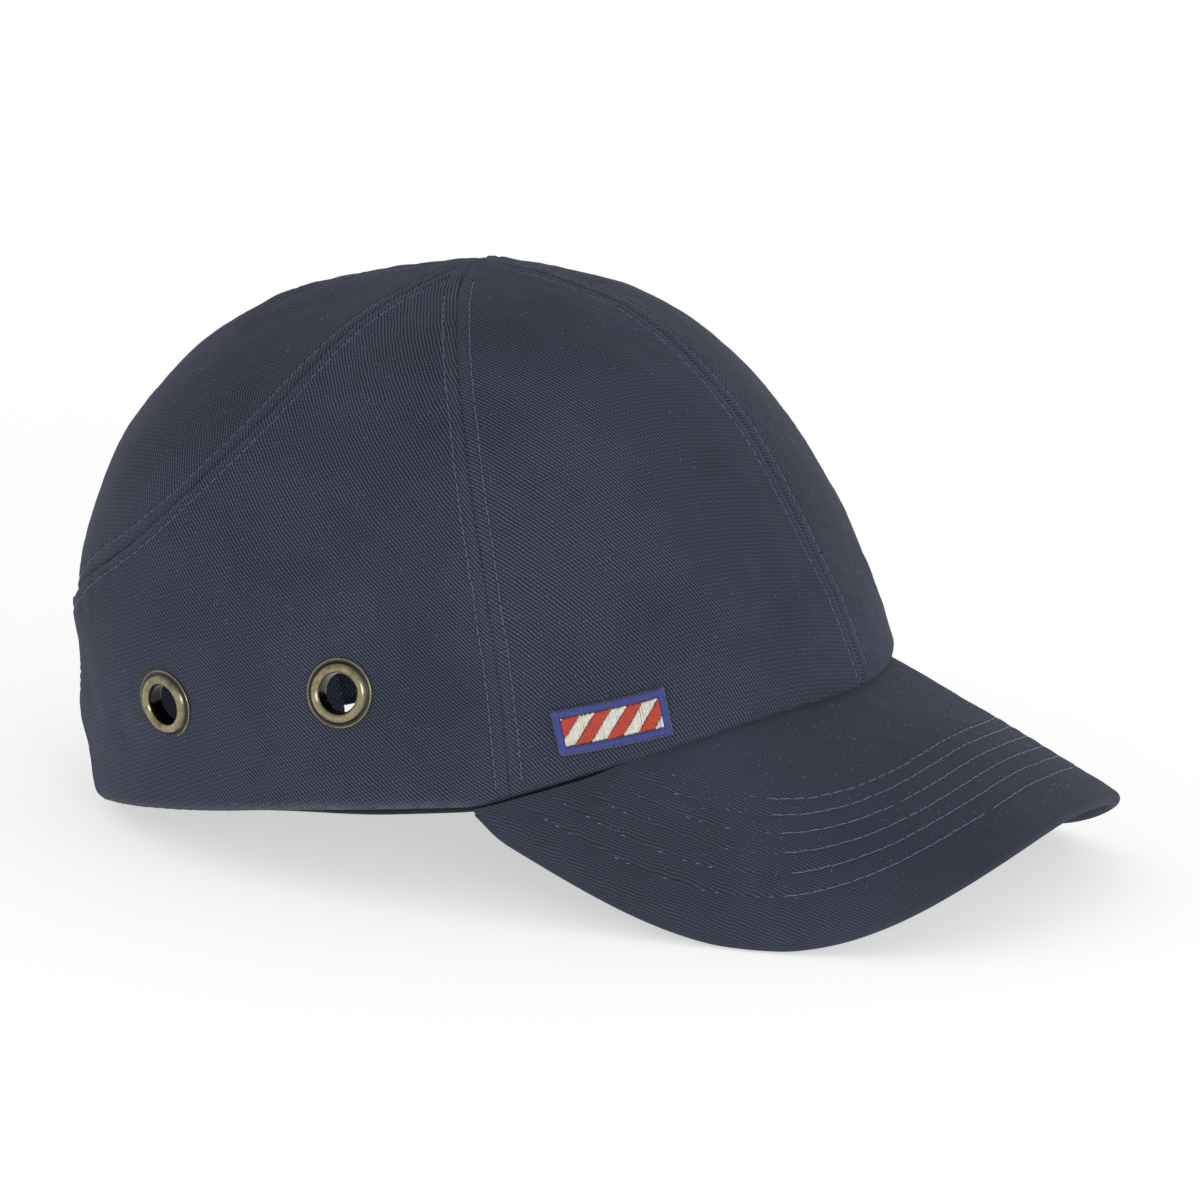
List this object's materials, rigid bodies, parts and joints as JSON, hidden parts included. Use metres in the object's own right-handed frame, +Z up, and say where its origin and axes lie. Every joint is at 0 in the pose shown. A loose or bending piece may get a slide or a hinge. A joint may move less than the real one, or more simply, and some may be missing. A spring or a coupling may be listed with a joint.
{
  "type": "bump cap",
  "caption": "Baseball-style bump cap: twill cover with a curved stitched peak, brass vent eyelets and rear hook-and-loop strap, over a lift-out plastic shell with foam pads.",
  "frame": {"origin": "bottom centre of the bounding box, on the table the cap stands on", "axes": "+Z up, peak towards -Y, wearer's right towards -X; the cap stands as on a table, leaning back so that the rim rises towards the front"},
  "size_m": [0.1734, 0.2702, 0.1463],
  "materials": {
    "twill": "navy cotton twill",
    "brass": "antique brass, polished",
    "tape": "cotton bias tape",
    "badge": "embroidered",
    "sweatband_cloth": "cotton terry",
    "peak_board": "moulded",
    "shell_plastic": "moulded ABS",
    "foam": "closed-cell foam",
    "strap_cloth": "cotton webbing",
    "hook": "hook tape",
    "loop": "loop tape",
    "label": "woven satin"
  },
  "bodies": {
    "insert": {"inner_shell": "shell_plastic", "crown_pad": "foam", "front_pad": "foam", "side_pad_right": "foam", "side_pad_left": "foam", "rear_pad": "foam"},
    "cover": {"front_panel_right": "twill", "side_panel_right": "twill", "rear_panel_right": "twill", "eyelet_right_front": "brass", "eyelet_washer_right_front": "brass", "eyelet_right_rear": "brass", "eyelet_washer_right_rear": "brass", "seam_tape_side_right": "tape", "seam_tape_rear_right": "tape", "front_panel_left": "twill", "side_panel_left": "twill", "rear_panel_left": "twill", "eyelet_left_front": "brass", "eyelet_washer_left_front": "brass", "eyelet_left_rear": "brass", "eyelet_washer_left_rear": "brass", "seam_tape_side_left": "tape", "seam_tape_rear_left": "tape", "seam_tape_front": "tape", "half_moon_binding": "tape", "badge": "badge", "sweatband": "sweatband_cloth", "peak_top_cover": "twill", "peak_board": "peak_board", "peak_under_cover": "twill", "strap_left": "strap_cloth", "loop_tape": "loop", "size_label": "label"},
    "strap": {"strap_right_base": "strap_cloth"},
    "strap_tail": {"strap_right_tail": "strap_cloth", "hook_tape": "hook"}
  },
  "joints": [
    {"name": "cover_lift", "type": "slide", "parent": "insert", "child": "cover", "axis": [0, 0.2334, 0.9724], "range_m": [0, 0.15]},
    {"name": "strap_adjust", "type": "hinge", "parent": "cover", "child": "strap", "pos_m": [0, 0.06454, 0.01698], "axis": [0, -0.2554, -0.9668], "range_deg": [0, 14]},
    {"name": "strap_peel", "type": "hinge", "parent": "strap", "child": "strap_tail", "pos_m": [-0.01987, 0.1266, 0.00058], "axis": [0, 0.2554, 0.9668], "range_deg": [0, 80]}
  ]
}
